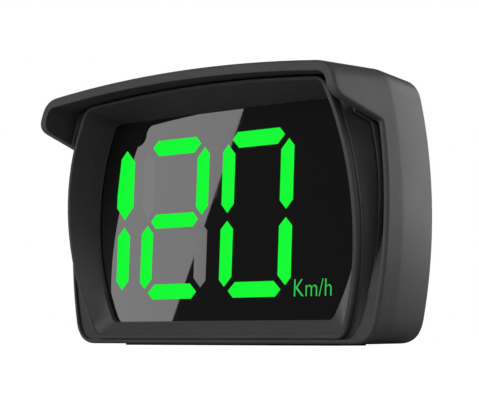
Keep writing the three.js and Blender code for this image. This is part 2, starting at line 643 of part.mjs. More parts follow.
add(centred, 'battery_lead_black', batteryLead(-12), BLACK);
add(centred, 'usb_socket', usbShell(), TIN, USB.x, USB.z);
add(centred, 'usb_tongue', box(-3.3, 3.3, 15.8, 21.6, -0.35, 0.35), BLACK, USB.x, USB.z);
for (const { name, x, z } of BOARD_SCREWS)
  add(centred, `board_screw_${name}`, screw(x, z, 11.6, 12.5, 17.6, 1.6, 0.7), STEEL);
for (const { name, x } of BUTTONS) {
  add(centred, `${name}_switch`, tactSwitch(), CHIP, x, BUTTON_Z);
  add(centred, `${name}_button`, buttonCap(), CASE_BLACK, x, BUTTON_Z);
}

export default speedDisplay;
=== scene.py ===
# %% [markdown]
# # A hooded speed display for a dashboard
#
# The fixed frame holds every part of this object at its real size: a hood, a bezel hoop round a
# tilted window, a rear cover with a battery pod, and the electronics between them. This lesson
# builds the surfaces that a driver or a mechanic would look at closely, in the same places, and
# gives every part a finish of its own. Shapes are worked in millimetres, and each finished piece
# is scaled to metres once, when its mesh is stored.

# %% Load the frame
import json
from math import atan, cos, pi, radians, sin, sqrt

import bmesh
import bpy
from mathutils import Matrix, Vector


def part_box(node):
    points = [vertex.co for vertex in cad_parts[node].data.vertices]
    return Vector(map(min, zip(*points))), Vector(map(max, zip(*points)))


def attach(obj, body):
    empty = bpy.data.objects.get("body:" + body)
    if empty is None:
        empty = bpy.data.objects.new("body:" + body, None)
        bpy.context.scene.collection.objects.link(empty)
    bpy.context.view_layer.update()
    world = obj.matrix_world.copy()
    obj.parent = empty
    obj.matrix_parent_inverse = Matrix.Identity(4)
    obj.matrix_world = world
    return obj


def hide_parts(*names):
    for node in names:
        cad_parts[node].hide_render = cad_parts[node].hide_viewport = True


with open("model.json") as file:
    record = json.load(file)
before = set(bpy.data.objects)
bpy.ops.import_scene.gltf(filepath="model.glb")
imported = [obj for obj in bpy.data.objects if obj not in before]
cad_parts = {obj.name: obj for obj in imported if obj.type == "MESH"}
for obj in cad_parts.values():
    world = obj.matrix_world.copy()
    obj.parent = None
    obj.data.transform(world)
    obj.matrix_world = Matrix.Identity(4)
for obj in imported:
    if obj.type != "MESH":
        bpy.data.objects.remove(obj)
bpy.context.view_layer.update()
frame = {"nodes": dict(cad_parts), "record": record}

# %% [markdown]
# ## Driving dimensions
#
# The shapes are laid out from the window's lower edge, where Y is 0, with X to the driver's right.
# The frame is centred front to back instead, so one shift, read from the hood's own box, carries
# every piece over. The outlines are the object's cross-sections seen from the front: bowed sides,
# a flat bottom, a crowned top and rounded corners.

# %% Sizes in millimetres
BODY = "housing"
VISOR_TIP, CREASE, CASE_BACK = -12.4, 3.5, 14.4
PLATE_FRONT, POD_BACK, BUTTON_PROUD = 12.4, 23.0, 0.4
WALL, GAP = 2.0, 0.3
LENS_BOTTOM, LENS_SLOPE = 4.93, 0.046
LENS_LEAN = atan(LENS_SLOPE)
LOWEST, HIGHEST = 0.95, 52.0                # limits of the bezel inside the hood
TAPER = {"half": -1.4, "top": -1.35, "bottom": 0.1}

CASE = dict(half=45.3, level=25.5, side=93, bottom=0.3, top=54.45, crown=380, low=4.4, high=3.8)
BLADE = dict(half=40.5, level=25, side=49, bottom=2.2, top=51.4, crown=380, low=0.9, high=1.5)
RIDGE = dict(half=43.1, level=29, side=47, bottom=1.2, top=51.9, crown=380, low=2.2, high=2.5)
LENS = dict(half=38.05, level=23.57, side=44, bottom=0, top=42.87, crown=2000, low=1.2, high=1.2)
POD = dict(half=26, level=21, side=300, bottom=0.3, top=43, crown=300, low=3, high=5)

SOLAR = dict(half=33.0, front=-10.4, rear=2.6, recess=1.3)
LEAD_HOLE = dict(x0=-22, x1=-18, y0=-1.4, y1=0.6, z0=49, z1=54)
FRONT_PAD = dict(half=30, front=0.6, rear=11.4)
REAR_PAD = dict(half=18, front=15.8, rear=21)
PAD_THICKNESS = 1.0

SHIFT = 1000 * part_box("hood_shell")[0].y - VISOR_TIP
PLACE = Matrix.Translation((0, SHIFT / 1000, 0)) @ Matrix.Scale(0.001, 4)
print("shift from the window's edge to the frame's middle, mm", round(SHIFT, 2))

# %% [markdown]
# ## Outlines and lofts
#
# A moulded case is a stack of cross-sections, so each outline is a short formula, and every
# outline has the same number of points in the same order. A loft then starts from one ring of
# vertices, and each next cross-section is made by extruding that ring and setting it in place,
# as one would by hand with E and S. A boolean of primitive solids could give the same walls,
# but the rings leave clean quads that follow the bow of the sides.

# %% Outline helpers
# Shares of a side's height: close together where the cheek leaves the upright rim.
SIDE_SHARES = [0.78 * i / 14 for i in range(1, 14)] + [0.78 + 0.22 * i / 26 for i in range(26)]
CORNER_STEPS = 8
FLAT_STEPS = 8


def side_x(o, z):
    """Half width of an outline at a height."""
    return o["half"] - o["side"] + sqrt(o["side"] ** 2 - (z - o["level"]) ** 2)


def roof_z(o, x):
    """Height of an outline's crowned top."""
    return o["top"] - o["crown"] + sqrt(o["crown"] ** 2 - x * x)


def between(a, b, t):
    return a + (b - a) * t


def rounded(start, tip, end, steps=CORNER_STEPS):
    """Points of a corner whose sides meet at tip."""
    start, tip, end = Vector(start), Vector(tip), Vector(end)
    for i in range(steps + 1):
        t = i / steps
        yield start * (1 - t) ** 2 + tip * 2 * t * (1 - t) + end * t * t


def outline(o):
    """(x, z) points of an outline, anticlockwise from the middle of its bottom."""
    low_x = side_x(o, o["bottom"])
    high_x = side_x(o, roof_z(o, o["half"] - 3))
    high_z = roof_z(o, high_x)
    side_low, side_high = o["bottom"] + o["low"], high_z - o["high"]
    right = [Vector(((low_x - o["low"]) * i / FLAT_STEPS, o["bottom"])) for i in range(1, FLAT_STEPS)]
    right += rounded((low_x - o["low"], o["bottom"]), (low_x, o["bottom"]),
                     (side_x(o, side_low), side_low))
    for share in SIDE_SHARES:
        z = between(side_low, side_high, share)
        right.append(Vector((side_x(o, z), z)))
    right += rounded((side_x(o, side_high), side_high), (high_x, high_z),
                     (high_x - o["high"], roof_z(o, high_x - o["high"])))
    for i in range(1, FLAT_STEPS):
        x = (high_x - o["high"]) * (1 - i / FLAT_STEPS)
        right.append(Vector((x, roof_z(o, x))))
    left = [Vector((-p.x, p.y)) for p in reversed(right)]
    return [Vector((0, o["bottom"])), *right, Vector((0, o["top"])), *left]


def inset(o, d, **changes):
    """The same outline drawn in, or let out with a negative distance."""
    drawn = dict(o, half=o["half"] - d, side=o["side"] - d, bottom=o["bottom"] + d,
                 top=o["top"] - d, crown=o["crown"] - d,
                 low=max(o["low"] - d, 0.6), high=max(o["high"] - d, 0.6))
    return dict(drawn, **changes)


def tapered(o, y):
    """The case's outline at a distance behind the crease."""
    t = max(0.0, y - CREASE) / (CASE_BACK - CREASE)
    return dict(o, **{name: o[name] + step * t for name, step in TAPER.items()})


def ring(o, y):
    """A cross-section as 3-D points; y is a number or a function of height."""
    return [Vector((p.x, y(p.y) if callable(y) else y, p.y)) for p in outline(o)]


print("points in each cross-section", len(outline(CASE)))

# %% Loft helpers
def start_ring(bm, points):
    """A closed ring of vertices and edges."""
    verts = [bm.verts.new(p) for p in points]
    for a, b in zip(verts, verts[1:] + verts[:1]):
        bm.edges.new((a, b))
    return verts


def next_ring(bm, verts, points):
    """Extrudes a ring of vertices and sets the new one in place."""
    edges = [bm.edges.get((a, b)) for a, b in zip(verts, verts[1:] + verts[:1])]
    made = bmesh.ops.extrude_edge_only(bm, edges=edges)["geom"]
    new = {v for v in made if isinstance(v, bmesh.types.BMVert)}
    placed = []
    for vert, point in zip(verts, points):
        twin = next(e.other_vert(vert) for e in vert.link_edges if e.other_vert(vert) in new)
        twin.co = point
        placed.append(twin)
    return placed


def loft(rings, closed=False):
    """Skins a list of rings. Closed, the last ring meets the first; otherwise both ends are capped."""
    bm = bmesh.new()
    first = verts = start_ring(bm, rings[0])
    for points in rings[1:]:
        verts = next_ring(bm, verts, points)
    if closed:
        next_ring(bm, verts, rings[0])
        bmesh.ops.remove_doubles(bm, verts=bm.verts, dist=1e-4)
    else:
        bm.faces.new(first)
        bm.faces.new(verts)
    bmesh.ops.recalc_face_normals(bm, faces=bm.faces)
    return bm


def shade(bm, sharp=32):
    """Smooth shading, with the edges that turn sharply kept crisp."""
    for face in bm.faces:
        face.smooth = True
    for edge in bm.edges:
        edge.smooth = len(edge.link_faces) == 2 and edge.calc_face_angle(0) < radians(sharp)


def piece(name, bm, material, slot, *nodes, body=BODY, place=PLACE, sharp=32):
    """Stores a finished shape as an object that stands for CAD nodes and rides on their body."""
    shade(bm, sharp)
    bm.transform(place)
    mesh = bpy.data.meshes.new(name)
    bm.to_mesh(mesh)
    bm.free()
    mesh.materials.append(material)
    made = bpy.data.objects.new(name, mesh)
    bpy.context.scene.collection.objects.link(made)
    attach(made, body)
    if nodes:
        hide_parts(*nodes)
    print(name, len(mesh.polygons), "faces")
    return made


def carve(target, cutters):
    """Cuts closed shapes out of a finished piece."""
    for number, cutter in enumerate(cutters):
        cutter.transform(PLACE)
        mesh = bpy.data.meshes.new(f"cutter_{number}")
        cutter.to_mesh(mesh)
        cutter.free()
        tool = bpy.data.objects.new(f"cutter_{number}", mesh)
        bpy.context.scene.collection.objects.link(tool)
        boolean = target.modifiers.new("cut", "BOOLEAN")
        boolean.operation, boolean.solver, boolean.object = "DIFFERENCE", "EXACT", tool
        graph = bpy.context.evaluated_depsgraph_get()
        cut = bpy.data.meshes.new_from_object(target.evaluated_get(graph))
        target.modifiers.clear()
        target.data = cut
        bpy.data.objects.remove(tool)
    bm = bmesh.new()
    bm.from_mesh(target.data)
    bmesh.ops.remove_doubles(bm, verts=bm.verts, dist=1e-6)
    shade(bm)
    bm.to_mesh(target.data)
    bm.free()


def block(x0, x1, y0, y1, z0, z1):
    """A box from its limits."""
    bm = bmesh.new()
    middle = Vector(((x0 + x1) / 2, (y0 + y1) / 2, (z0 + z1) / 2))
    size = Matrix.Diagonal((x1 - x0, y1 - y0, z1 - z0, 1))
    bmesh.ops.create_cube(bm, size=1, matrix=Matrix.Translation(middle) @ size)
    return bm


def turned(profile, steps=48):
    """A shape turned about the Y axis from (radius, y) points."""
    bm = bmesh.new()
    verts = [bm.verts.new((r, y, 0)) for r, y in profile]
    edges = [bm.edges.new(pair) for pair in zip(verts, verts[1:])]
    bmesh.ops.spin(bm, geom=verts + edges, cent=(0, 0, 0), axis=(0, 1, 0), angle=2 * pi,
                   steps=steps, use_merge=True)
    bmesh.ops.remove_doubles(bm, verts=bm.verts, dist=1e-4)
    bmesh.ops.recalc_face_normals(bm, faces=bm.faces)
    return bm


def moved(bm, x=0.0, y=0.0, z=0.0):
    bmesh.ops.translate(bm, verts=bm.verts, vec=(x, y, z))
    return bm


def prism(points, y0, y1, bevel=0.0):
    """A flat (x, z) shape thickened along Y, with its front edge rounded if asked."""
    bm = bmesh.new()
    face = bm.faces.new([bm.verts.new((x, y1, z)) for x, z in points])
    made = bmesh.ops.extrude_face_region(bm, geom=[face])["geom"]
    front = [v for v in made if isinstance(v, bmesh.types.BMVert)]
    bmesh.ops.translate(bm, verts=front, vec=(0, y0 - y1, 0))
    bmesh.ops.recalc_face_normals(bm, faces=bm.faces)
    if bevel:
        edges = [e for e in bm.edges if all(abs(v.co.y - y0) < 1e-5 for v in e.verts)]
        bmesh.ops.bevel(bm, geom=edges, offset=bevel, segments=2, profile=0.5, affect="EDGES",
                        material=-1)
    return bm


def merged(*shapes):
    """Several shapes as one mesh."""
    whole = bmesh.new()
    for shape in shapes:
        mesh = bpy.data.meshes.new("part")
        shape.to_mesh(mesh)
        whole.from_mesh(mesh)
        shape.free()
        bpy.data.meshes.remove(mesh)
    return whole


# %% [markdown]
# ## Finishes as expressions
#
# A finish is a Principled shader with constants on its sockets and a few patterns that vary over
# the surface. The patterns are arithmetic, and node graphs hide arithmetic well, so a small class
# wraps a socket and turns Python's operators into Math nodes. Colours are never put through a
# Math node, because it would turn them grey; they go through Mix instead.

# %% The value and finish classes
class Value:
    """A number that varies over a surface. Arithmetic on it adds Math nodes."""

    def __init__(self, finish, socket):
        self.finish, self.socket = finish, socket

    def _math(self, operation, first, second=0.0):
        return self.finish.node("ShaderNodeMath", {"operation": operation}, {0: first, 1: second})

    def __add__(self, other):
        return self._math("ADD", self, other)

    def __sub__(self, other):
        return self._math("SUBTRACT", self, other)

    def __mul__(self, other):
        return self._math("MULTIPLY", self, other)

    def __gt__(self, other):
        return self._math("GREATER_THAN", self, other)

    def __rsub__(self, other):
        return self._math("SUBTRACT", other, self)

    __radd__, __rmul__ = __add__, __mul__

    def fraction(self):
        return self._math("FRACT", self)


class Finish:
    """A named material. Keyword values go straight on the shader's sockets."""

    def __init__(self, name, **constants):
        self.material = bpy.data.materials.new(name)
        self.material.use_nodes = True
        self.tree = self.material.node_tree
        self.shader = self.tree.nodes["Principled BSDF"]
        for socket, value in constants.items():
            self.plug(self.shader.inputs[socket.replace("_", " ")], value)

    def plug(self, socket, value):
        if isinstance(value, Value):
            self.tree.links.new(value.socket, socket)
        else:
            socket.default_value = value

    def node(self, kind, settings=None, inputs=None, output=0):
        """Any node: its settings first, then values or links for its sockets."""
        made = self.tree.nodes.new(kind)
        for key, value in (settings or {}).items():
            setattr(made, key, value)
        for key, value in (inputs or {}).items():
            self.plug(made.inputs[key], value)
        return Value(self, made.outputs[output])

    def place(self):
        """Where on the object, in metres."""
        return self.node("ShaderNodeTexCoord", output="Object")

    def axis(self, name):
        return self.node("ShaderNodeSeparateXYZ", inputs={0: self.place()}, output=name)

    def noise(self, size_mm, detail=2.0, roughness=0.5):
        """Soft noise from 0 to 1 whose grains have a size in millimetres."""
        return self.node("ShaderNodeTexNoise", inputs={
            "Vector": self.place(), "Scale": 1000 / size_mm, "Detail": detail,
            "Roughness": roughness})

    def cells(self, size_mm):
        return self.node("ShaderNodeTexVoronoi", inputs={
            "Vector": self.place(), "Scale": 1000 / size_mm}, output="Distance")

    def ramp(self, value, low, high):
        """0 below one value, 1 above another, with a straight slope between."""
        return self.node("ShaderNodeMapRange", {"clamp": True}, {0: value, 1: low, 2: high})

    def lines(self, axis, pitch_mm, width_mm, offset_mm=0.0):
        """1 on thin lines across an axis, 0 between them."""
        along = (self.axis(axis) * 1000 - offset_mm) * (1 / pitch_mm)
        return 1 - (along.fraction() > width_mm / pitch_mm)

    def colour(self, factor, first, second):
        return self.node("ShaderNodeMix", {"data_type": "RGBA"}, {0: factor, 6: first, 7: second},
                         output=2)

    def feed(self, **values):
        for socket, value in values.items():
            self.plug(self.shader.inputs[socket.replace("_", " ")], value)
        return self

    def bump(self, height, depth_mm, strength=1.0):
        normal = self.node("ShaderNodeBump", inputs={
            "Strength": strength, "Distance": depth_mm / 1000, "Height": height})
        return self.feed(Normal=normal)


def grey(level):
    return (level, level, level, 1)


# %% [markdown]
# ## Plastics
#
# The case is a charcoal plastic from a spark-eroded mould: a very fine pebbled grain, slightly
# uneven in gloss, a little paler where hands have rubbed it. The bezel comes from a smoother
# mould and is darker. Both are noise at three sizes: grain for the bump, patches of a few
# millimetres for gloss, and broad drifts of a centimetre or two for colour.

# %% Case, bezel and other plastics
def moulded(name, level, tint, roughness, grain_mm, grain_depth, specular=0.5):
    finish = Finish(name, Specular_IOR_Level=specular)
    grain = finish.noise(grain_mm, 3, 0.6)
    patches = finish.noise(6, 2)
    drift = finish.noise(22, 2)
    specks = finish.ramp(finish.noise(0.9, 1), 0.68, 0.8)
    base = finish.colour(drift, (level * 0.9, level * 0.9, level * 0.9 * tint, 1),
                         (level * 1.1, level * 1.1, level * 1.1 * tint, 1))
    dusty = finish.colour(specks * 0.12, base, (0.3, 0.29, 0.27, 1))
    finish.feed(Base_Color=dusty, Roughness=roughness - 0.05 + 0.1 * patches)
    return finish.bump(grain * 0.8 + patches * 0.2, grain_depth).material


case_plastic = moulded("case_charcoal", 0.046, 1.03, 0.46, 0.35, 0.012)
bezel_plastic = moulded("bezel_black", 0.04, 1.02, 0.42, 0.25, 0.006)
button_plastic = moulded("button_grey", 0.06, 1.02, 0.5, 0.3, 0.01)
white_plastic = moulded("light_box_white", 0.78, 0.97, 0.5, 0.5, 0.01)
epoxy = moulded("chip_epoxy", 0.012, 1.0, 0.55, 0.15, 0.008)


def rubber_finish(name, level, pore_mm):
    finish = Finish(name, Specular_IOR_Level=0.3)
    pores = finish.cells(pore_mm)
    cloudy = finish.noise(4, 3)
    finish.feed(Base_Color=finish.colour(cloudy, grey(level * 0.8), grey(level * 1.5)),
                Roughness=0.8 + 0.15 * cloudy)
    return finish.bump(pores, 0.05).material


pad_rubber = rubber_finish("pad_rubber", 0.014, 0.7)
gasket_foam = rubber_finish("gasket_foam", 0.018, 0.4)


def lead_insulation(name, colour):
    finish = Finish(name, Roughness=0.45)
    cloudy = finish.noise(1.5, 2)
    darker = tuple(0.6 * c for c in colour) + (1,)
    finish.feed(Base_Color=finish.colour(cloudy, (*colour, 1), darker))
    return finish.bump(cloudy, 0.01).material


red_lead = lead_insulation("lead_red", (0.42, 0.02, 0.015))
black_lead = lead_insulation("lead_black", (0.02, 0.02, 0.02))
print("plastics ready")

# %% [markdown]
# ## Window, light bars and mask
#
# The window is smoked acrylic, so dark that nothing shows through it, polished to a mirror. The
# light bars are milky plastic that comes through to its face, as on a moulded digit module, so
# they glow without a reflection over them. Glow is Emission; the light spreads in the plastic, so
# it is even, and only a fine grain varies it.

# %% Window and lights
GLOW = 0.97


def window_finish():
    finish = Finish("smoked_window", Base_Color=grey(0.004), IOR=1.49)
    smear = finish.noise(9, 3)
    return finish.feed(Roughness=0.012 + 0.03 * finish.ramp(smear, 0.5, 0.75)).material


def lit_finish(name, colour, strength):
    """Diffusing plastic lit from behind: an even glow, a touch weaker between its grains."""
    finish = Finish(name, Base_Color=(0.002, 0.02, 0.004, 1), Roughness=0.5, Specular_IOR_Level=0.1)
    grain = finish.noise(0.5, 2)
    weaker = tuple(0.93 * c for c in colour) + (1,)
    glow = finish.colour(grain, (*colour, 1), weaker)
    finish.feed(Emission_Color=glow)
    finish.shader.inputs["Emission Strength"].default_value = strength
    return finish.bump(grain, 0.01).material


def unlit_painted_glow_finish():
    """Switched-off milky bars, with a faint painted glow stored bar by bar as an attribute."""
    finish = Finish("bar_unlit_painted_glow", Base_Color=grey(0.01), Roughness=0.6, Specular_IOR_Level=0.1)
    painted_glow = finish.node("ShaderNodeAttribute", {"attribute_name": "painted_glow"}, output="Fac")
    grain = 0.95 + 0.1 * finish.noise(0.6, 2)
    finish.feed(Emission_Color=finish.colour(painted_glow * grain, grey(0), (1, 0.965, 0.99, 1)))
    finish.shader.inputs["Emission Strength"].default_value = GLOW
    return finish.bump(finish.noise(0.5, 2), 0.01).material


def mask_finish():
    finish = Finish("mask_film", Specular_IOR_Level=0.1)
    grain = finish.noise(0.4, 2)
    finish.feed(Base_Color=finish.colour(grain, grey(0.002), grey(0.005)),
                Roughness=0.6 + 0.2 * grain)
    return finish.material


smoked_window = window_finish()
lit_green = lit_finish("bar_green", (0.0035, 1.0, 0.033), GLOW)
label_green = lit_finish("label_green", (0.03, 0.62, 0.09), GLOW)
unlit_bar_painted_glow = unlit_painted_glow_finish()
mask_film = mask_finish()
print("window and light finishes ready, glow", GLOW)

# %% [markdown]
# ## Metals, boards and solar cells
#
# Inner parts show whenever the case is opened, so they are finished too: a board has copper
# tracks under green lacquer, tinned sheet is brushed, the antenna's ceramic is speckled, and each
# solar cell has fine silver fingers between two bus bars.

# %% Metals
def metal_finish(name, colour, roughness, stretch):
    finish = Finish(name, Metallic=1.0)
    along = finish.node("ShaderNodeMapping", inputs={"Vector": finish.place(), "Scale": stretch})
    brush = finish.node("ShaderNodeTexNoise", inputs={"Vector": along, "Scale": 900.0, "Detail": 3.0})
    stain = finish.noise(3, 3)
    darker = tuple(0.75 * c for c in colour) + (1,)
    finish.feed(Base_Color=finish.colour(stain, (*colour, 1), darker),
                Roughness=roughness - 0.08 + 0.16 * brush)
    return finish.bump(brush, 0.004).material


tinned_sheet = metal_finish("tinned_sheet", (0.62, 0.63, 0.64), 0.3, (1, 8, 1))
screw_steel = metal_finish("screw_black_zinc", (0.2, 0.2, 0.21), 0.35, (1, 1, 1))
cell_wrap = metal_finish("battery_wrap", (0.6, 0.62, 0.64), 0.4, (1, 1, 6))
bus_bar = metal_finish("bus_bar_silver", (0.7, 0.71, 0.72), 0.35, (6, 1, 1))


def board_finish():
    finish = Finish("board_green", Roughness=0.4, Coat_Weight=0.3)
    tracks = finish.lines("X", 2.54, 0.5) * finish.ramp(finish.noise(5, 1), 0.42, 0.44)
    rails = finish.lines("Z", 5.08, 0.7) * finish.ramp(finish.noise(7, 1), 0.5, 0.52)
    copper = finish.ramp(tracks + rails, 0.0, 1.0)
    vias = 1 - finish.ramp(finish.cells(2.4), 0.12, 0.16)
    lacquer = finish.colour(copper, (0.008, 0.085, 0.03, 1), (0.02, 0.17, 0.06, 1))
    finish.feed(Base_Color=finish.colour(vias, lacquer, (0.45, 0.42, 0.3, 1)))
    return finish.bump(copper, 0.03).material


def ceramic_finish():
    finish = Finish("antenna_ceramic", Roughness=0.55)
    specks = finish.ramp(finish.cells(0.6), 0.2, 0.35)
    return finish.feed(Base_Color=finish.colour(
        specks, (0.42, 0.33, 0.2, 1), (0.62, 0.5, 0.33, 1))).bump(specks, 0.01).material


def solar_cell_finish():
    finish = Finish("solar_cell", Coat_Weight=0.6)
    crystal = finish.noise(2.5, 1)
    fingers = finish.lines("Y", 0.9, 0.09)
    silicon = finish.colour(crystal, (0.006, 0.011, 0.05, 1), (0.012, 0.024, 0.09, 1))
    finish.feed(Base_Color=finish.colour(fingers, silicon, (0.35, 0.37, 0.4, 1)),
                Roughness=0.28 + 0.2 * fingers)
    return finish.bump(fingers, 0.01).material


def cover_finish():
    finish = Finish("solar_cover", Base_Color=(0.05, 0.055, 0.07, 1), Alpha=0.22, IOR=1.49)
    return finish.feed(Roughness=0.03 + 0.05 * finish.ramp(finish.noise(8, 3), 0.45, 0.75)).material


board_green = board_finish()
antenna_ceramic = ceramic_finish()
solar_silicon = solar_cell_finish()
solar_gloss = cover_finish()
print("metals, boards and solar finishes ready")

# %% Give every CAD node the finish of its slot
FINISHES = {
    "case": case_plastic, "bezel": bezel_plastic, "lens": smoked_window, "mask": mask_film,
    "lit_bar": lit_green, "light_box": white_plastic, "board": board_green, "chip": epoxy,
    "tin": tinned_sheet, "screw": screw_steel, "rubber": pad_rubber, "foam": gasket_foam,
    "solar_cell": solar_silicon, "solar_cover": solar_gloss, "ceramic": antenna_ceramic,
    "cell_wrap": cell_wrap, "button": button_plastic, "red_lead": red_lead,
    "black_lead": black_lead,
}
for part in frame["record"]["subparts"]:
    node = frame["nodes"][part["node"]]
    node.data.materials.clear()
    node.data.materials.append(FINISHES[part["material_slot"]])

# %% [markdown]
# ## The hood
#
# On the real object the hood is one moulding: upright rims at the sides, cheeks that slope up
# from them, and a visor lip across the top. Its front edge is one line seen from the side, so
# that line is written first, and the shell is lofted from it. Each ring of the rounded rim
# is the same edge drawn a little forward and a little in. The roof's pocket for the solar strip is
# carved afterwards.

# %% The hood's front edge, seen from the side
RIM_RADIUS = 0.67
SIDE_RIM, ROOF_RIM = 0.9, WALL
RIM_THICKENS = (41.0, 43.0)                 # heights between which the rim becomes the wall
RIM_LOW, RIM_BOW, RIM_HIGH = (-1.1, 5), (-0.5, 22), (0, 41.3)
CHEEK_CORNER, CHEEK_START, CHEEK_MIDDLE = (0.05, 42.3), (-1.0, 42.65), (-5.6, 44.25)
CHEEK_END, LIP_CORNER, LIP_END = (-10.0, 45.75), (-12.3, 46.5), (VISOR_TIP + RIM_RADIUS, 48.6)


def front_line():
    """(y, z) of the hood's front edge from the bottom up."""
    points = list(rounded(RIM_LOW, RIM_BOW, RIM_HIGH, 12))
    points += list(rounded(RIM_HIGH, CHEEK_CORNER, CHEEK_START))[1:]
    points += [Vector(CHEEK_MIDDLE), Vector(CHEEK_END)]
    points += list(rounded(CHEEK_END, LIP_CORNER, LIP_END))[1:]
    return points


FRONT_LINE = front_line()


def front_edge(z):
    """y of the front edge at a height, and the way in from the edge, as (y, z)."""
    if z <= FRONT_LINE[0].y:
        return FRONT_LINE[0].x, Vector((1, 0))
    if z >= FRONT_LINE[-1].y:
        return FRONT_LINE[-1].x, Vector((1, 0))
    for a, b in zip(FRONT_LINE, FRONT_LINE[1:]):
        if z <= b.y:
            along = (b - a).normalized()
            return between(a.x, b.x, (z - a.y) / (b.y - a.y)), Vector((along.y, -along.x))
    return FRONT_LINE[-1].x, Vector((1, 0))


def smooth_step(value, low, high):
    t = min(max((value - low) / (high - low), 0), 1)
    return t * t * (3 - 2 * t)


def edge_ring(depth, forward):
    """The front edge drawn in through the wall by depth, and forward of the edge by a distance."""
    points = []
    for outer, p in zip(outline(CASE), outline(inset(CASE, depth))):
        y, way_in = front_edge(outer.y)
        z = p.y - way_in.y * forward
        on_side = way_in.y > 1e-6
        x = (1 if p.x > 0 else -1) * side_x(inset(CASE, depth), z) if on_side else p.x
        points.append(Vector((x, y - way_in.x * forward, z)))
    return points


def rim_ring(extra, forward):
    """The rim's inner edge: thin beside the window, the full wall under cheeks and roof."""
    thin, thick = edge_ring(SIDE_RIM + extra, forward), edge_ring(ROOF_RIM + extra, forward)
    return [a.lerp(b, smooth_step(o.y, *RIM_THICKENS))
            for a, b, o in zip(thin, thick, outline(CASE))]


print("front edge at half height, mm", round(front_edge(27)[0], 2))

# %% Hood shell
def hood_rings():
    """Round the back edge, forward over the crease, round the rim and back along the inside."""
    back_round, lip, rim_rear = 1.0, 0.12, 2.6
    rings = []
    for step in range(5):                                   # back edge, from the flat outwards
        a = radians(90 - 22.5 * step)
        y = CASE_BACK - back_round * (1 - sin(a))
        rings.append(ring(inset(tapered(CASE, y), back_round * (1 - cos(a))), y))
    for y in (CREASE + 0.8, CREASE + 0.15, CREASE - 0.15):  # the crease stays crisp
        rings.append(ring(tapered(CASE, y), y))
    edge = edge_ring(0, 0)
    behind = ring(CASE, CREASE - 0.8)
    rings.append(behind)
    rings += [[b.lerp(e, share) for b, e in zip(behind, edge)] for share in (0.35, 0.7, 0.92)]
    rings.append(edge)
    for step in range(1, 6):                                # rounded rim
        a = radians(18 * step)
        rings.append(edge_ring(RIM_RADIUS * (1 - cos(a)), RIM_RADIUS * sin(a)))
    rings.append(rim_ring(-lip, RIM_RADIUS))
    rings.append(rim_ring(0, RIM_RADIUS - lip))
    rings.append([Vector((p.x, rim_rear, p.z)) for p in rim_ring(0, 0)])
    inner = inset(CASE, WALL)
    rings.append(ring(inner, rim_rear + 0.3))
    rings.append(ring(inner, CREASE))
    rings.append(ring(tapered(inner, CASE_BACK), CASE_BACK))
    return rings


def roof_strip(x0, x1, y0, y1, top, bottom, steps=28):
    """A strip that follows the roof's crown between two depths under its surface."""
    across = [between(x0, x1, i / steps) for i in range(steps + 1)]
    points = [(x, roof_z(CASE, x) - bottom) for x in across]
    points += [(x, roof_z(CASE, x) - top) for x in reversed(across)]
    return prism(points, y0, y1)


def pad_recess(pad):
    """What a rubber pad's recess takes out of the bottom."""
    return block(-pad["half"] - GAP, pad["half"] + GAP, pad["front"] - GAP, pad["rear"] + GAP,
                 -1, PAD_THICKNESS + 0.1)


hood = piece("hood_shell_fine", loft(hood_rings(), closed=True), case_plastic, "case", "hood_shell")
solar_recess = roof_strip(-SOLAR["half"] - GAP, SOLAR["half"] + GAP,
                          SOLAR["front"] - GAP, SOLAR["rear"] + GAP, -2, SOLAR["recess"])
carve(hood, [solar_recess, block(*LEAD_HOLE.values()), pad_recess(FRONT_PAD)])

# %% [markdown]
# ## The bezel
#
# The bezel is a hoop that lines the hood's mouth. From the window it flares out to a blade's
# edge, which has a flat front and a narrow side, drops into a crescent-shaped pocket, climbs a
# thin ridge that runs parallel to the hood's rim, and ends in a flange behind that rim. One loft
# with a ring for each of these lines gives all of it; the bottom of every ring is held at the
# same height, so the pocket runs out into a flat front towards the base.

# %% Bezel lines
POCKET_ENDS = (43.6, 46)                    # heights between which pocket and groove run out


def lens_y(z):
    return (z - LENS_BOTTOM) * LENS_SLOPE


def blade_y(z):
    """Front edge of the blade: furthest forward under the visor."""
    return -2.5 - 4.1 * sin(min(max((z - 2.2) / 43.7, 0), 1) * pi / 2)


def ridge_y(z):
    """Crest of the ridge: beside the rim, then under the cheek's slope until the blade."""
    upright = -0.75 - 0.35 * smooth_step(16 - z, 0, 8)
    slope = front_edge(min(z + 0.75, 44.9))[0] - 0.2
    return max(min(upright, slope), blade_y(z) + 1.6)


def pocket_y(z):
    """Floor of the crescent pocket between blade and ridge."""
    deep = between(-0.9, 0.5, smooth_step(z, 7, 20))
    return between(deep, blade_y(z) + 2.1, smooth_step(z, *POCKET_ENDS))


def groove_y(z):
    """Floor of the groove between the ridge and the hood's rim."""
    deep = between(-1.0, 0.8, smooth_step(z, 13, 24))
    return between(deep, blade_y(z) + 2.2, smooth_step(z, *POCKET_ENDS))


